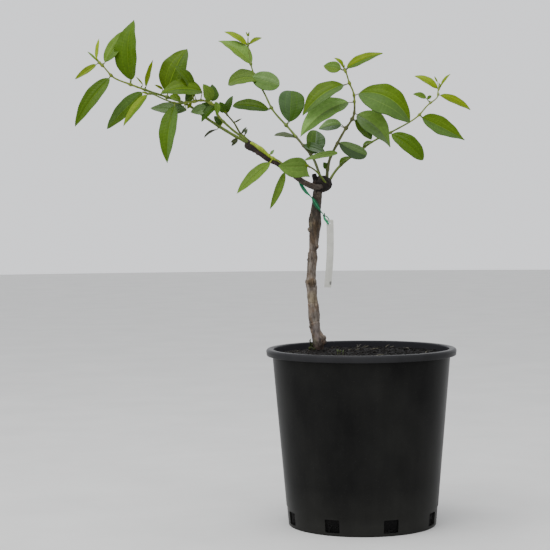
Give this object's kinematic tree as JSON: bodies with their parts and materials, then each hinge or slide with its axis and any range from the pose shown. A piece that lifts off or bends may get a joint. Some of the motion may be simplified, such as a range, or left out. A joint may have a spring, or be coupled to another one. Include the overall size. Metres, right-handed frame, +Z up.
{
  "type": "potted jujube tree",
  "caption": "Young jujube tree with a bent trunk, a knobbly graft head, one woody bough and long leafy shoots, growing in a round black nursery pot with drain holes.",
  "frame": {"origin": "centre of the pot's flat underside", "axes": "+Z up along the pot's axis, +X to the right of the picture, +Y away from the viewer"},
  "size_m": [0.5183, 0.2531, 0.6592],
  "materials": {
    "pot_plastic": "satin",
    "potting_mix": "matte",
    "bark": "matte",
    "young_bark": "matte",
    "foliage": "satin",
    "tie_plastic": "satin",
    "tag_plastic": "matte"
  },
  "bodies": {
    "root": {"pot": "pot_plastic", "soil": "potting_mix", "trunk": "bark", "bough_left": "young_bark", "left_leader": "foliage", "left_middle": "foliage", "left_short": "foliage", "bough_shoot": "foliage", "front_twig": "foliage", "upper_left": "foliage", "centre_leader": "foliage", "right_leader": "foliage", "tie": "tie_plastic", "tag": "tag_plastic"}
  },
  "joints": []
}
